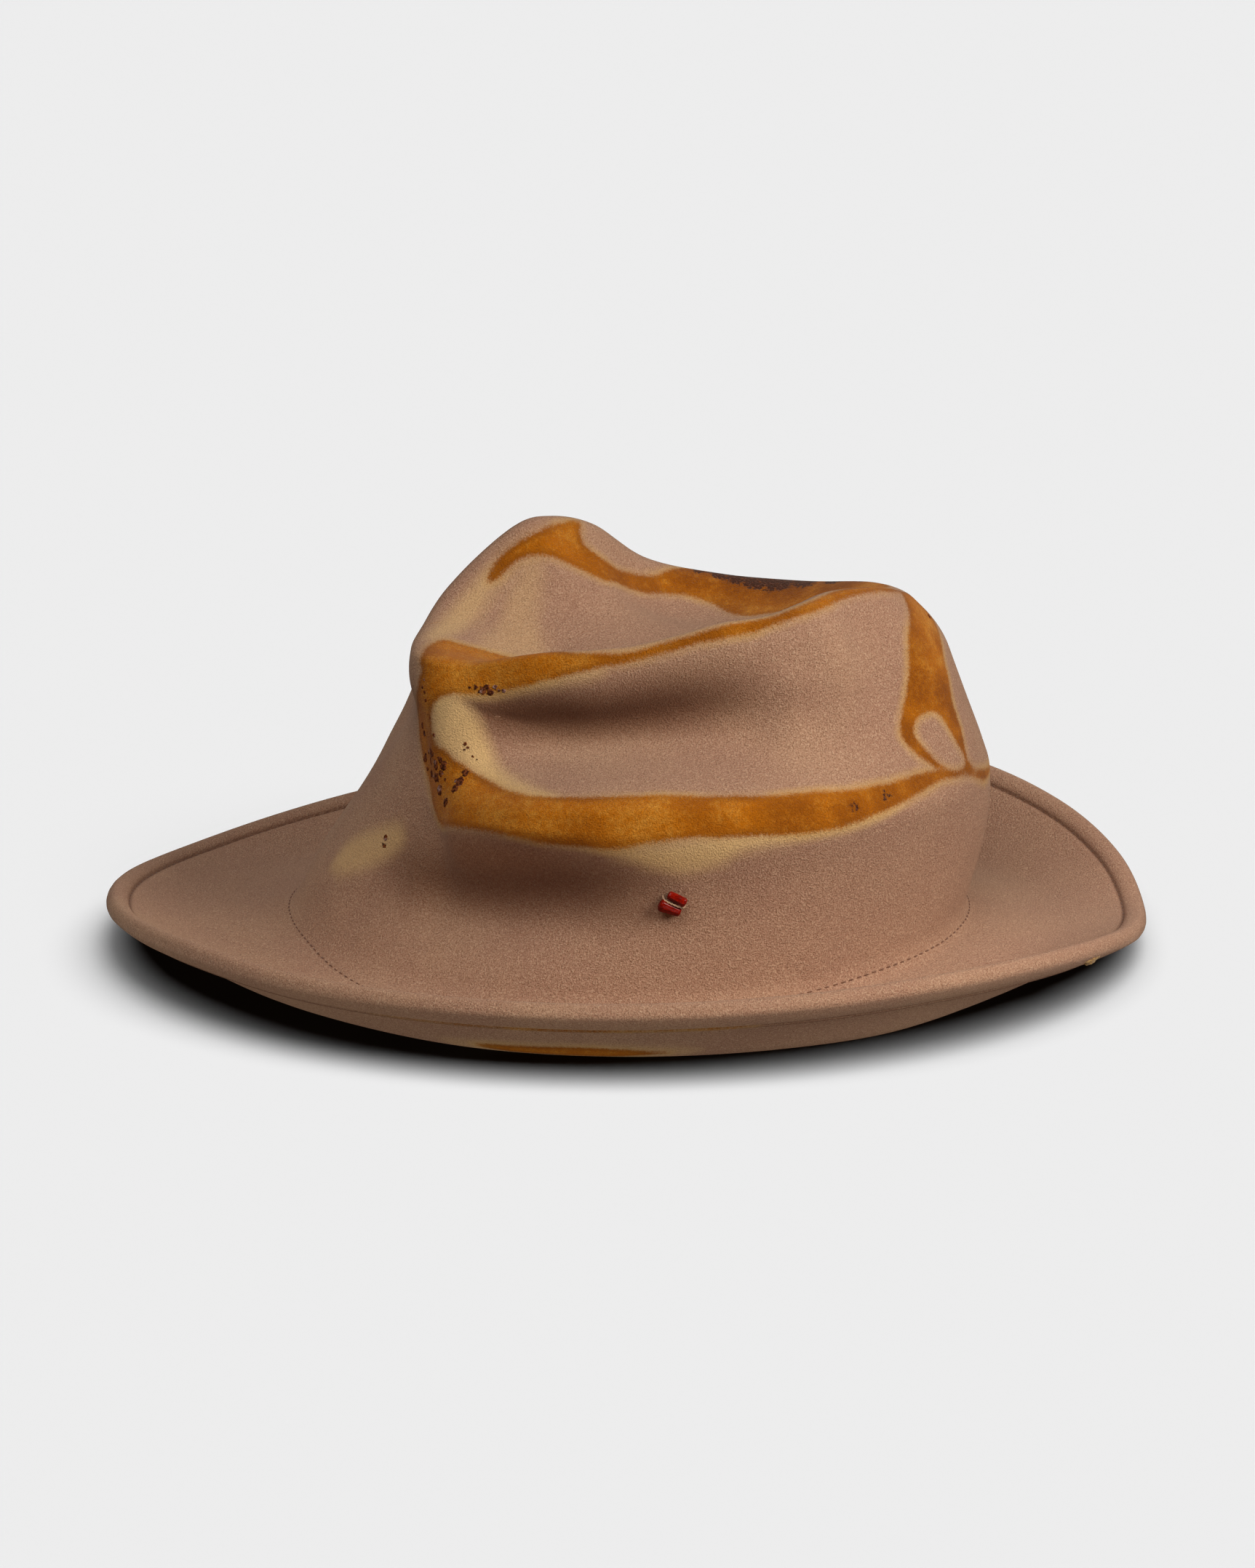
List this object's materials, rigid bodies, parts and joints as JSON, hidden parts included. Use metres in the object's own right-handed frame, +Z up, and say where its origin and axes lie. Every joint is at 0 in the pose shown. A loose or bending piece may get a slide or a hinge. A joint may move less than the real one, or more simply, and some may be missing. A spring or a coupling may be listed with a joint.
{
  "type": "felt hat",
  "caption": "Crumpled fedora of one piece of felt: creased crown, wide upturned brim with a turned-under stitched hem, and small red glass beads sewn to the wall.",
  "frame": {"origin": "bottom centre of the bounding box, on the surface the brim rests on", "axes": "+Z up; +X towards the back of the hat, along the brim's length; +Y towards the hat's left side, away from the beads"},
  "size_m": [0.3292, 0.2907, 0.1307],
  "materials": {
    "felt": "matte pinkish tan wool felt with scorched orange-brown creases",
    "red_glass": "glossy opaque red glass",
    "thread": "matte tan sewing thread"
  },
  "bodies": {
    "root": {"felt_body": "felt", "bead_upper": "red_glass", "bead_lower": "red_glass"}
  },
  "joints": []
}
